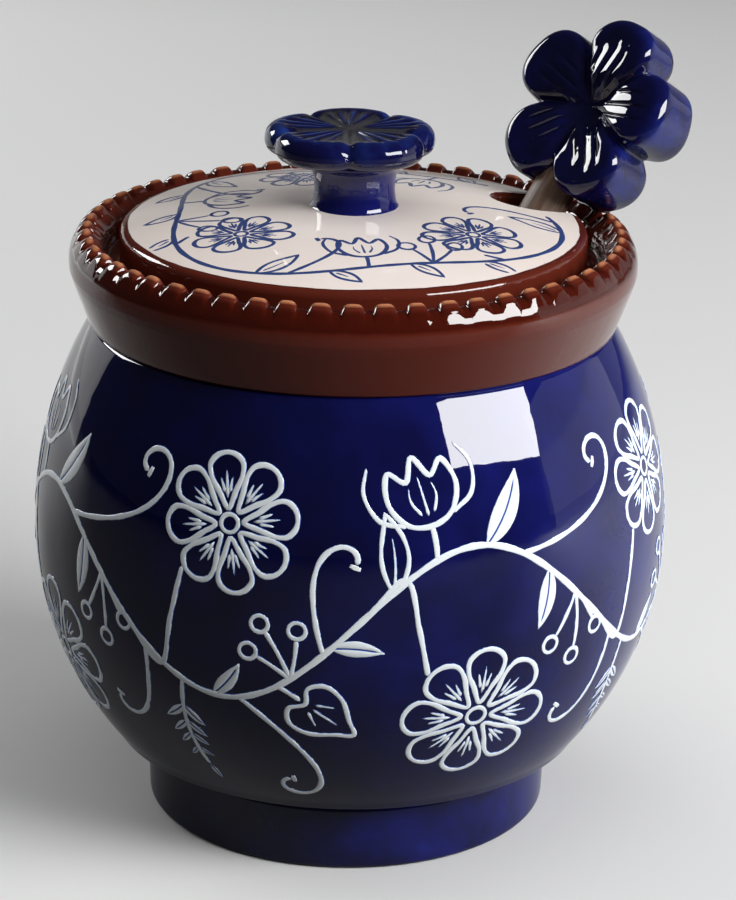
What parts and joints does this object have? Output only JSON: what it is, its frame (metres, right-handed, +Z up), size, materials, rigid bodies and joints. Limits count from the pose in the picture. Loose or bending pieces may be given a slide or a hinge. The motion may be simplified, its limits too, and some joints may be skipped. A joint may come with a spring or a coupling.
{
  "type": "honey pot",
  "caption": "Round-bellied glazed honey pot with a beaded rim, a domed notched lift-off lid with a flower knob, and a wooden dipper with a glazed flower top.",
  "frame": {"origin": "on the pot's own axis, in the plane that the foot stands on", "axes": "+Z up along the pot's axis, -Y towards the side that the decoration's front faces, the dipper leaning towards +X and a little towards +Y"},
  "size_m": [0.1247, 0.122, 0.15],
  "materials": {
    "blue_glaze": "glossy",
    "brown_glaze": "glossy",
    "cream_glaze": "glossy",
    "turned_wood": "satin"
  },
  "bodies": {
    "pot": {"foot_ring": "blue_glaze", "bowl": "blue_glaze", "rim_collar": "brown_glaze", "bead_ring": "brown_glaze"},
    "lid": {"lid_plate": "cream_glaze", "lid_flange": "brown_glaze", "lid_knob": "blue_glaze"},
    "dipper": {"dipper_stick": "turned_wood", "dipper_flower": "blue_glaze"}
  },
  "joints": [
    {"name": "lid_lift", "type": "slide", "parent": "pot", "child": "lid", "axis": [0, 0, 1], "range_m": [0, 0.06]},
    {"name": "dipper_draw", "type": "slide", "parent": "lid", "child": "dipper", "axis": [0.4871, 0.2272, 0.8433], "range_m": [0, 0.072]}
  ]
}
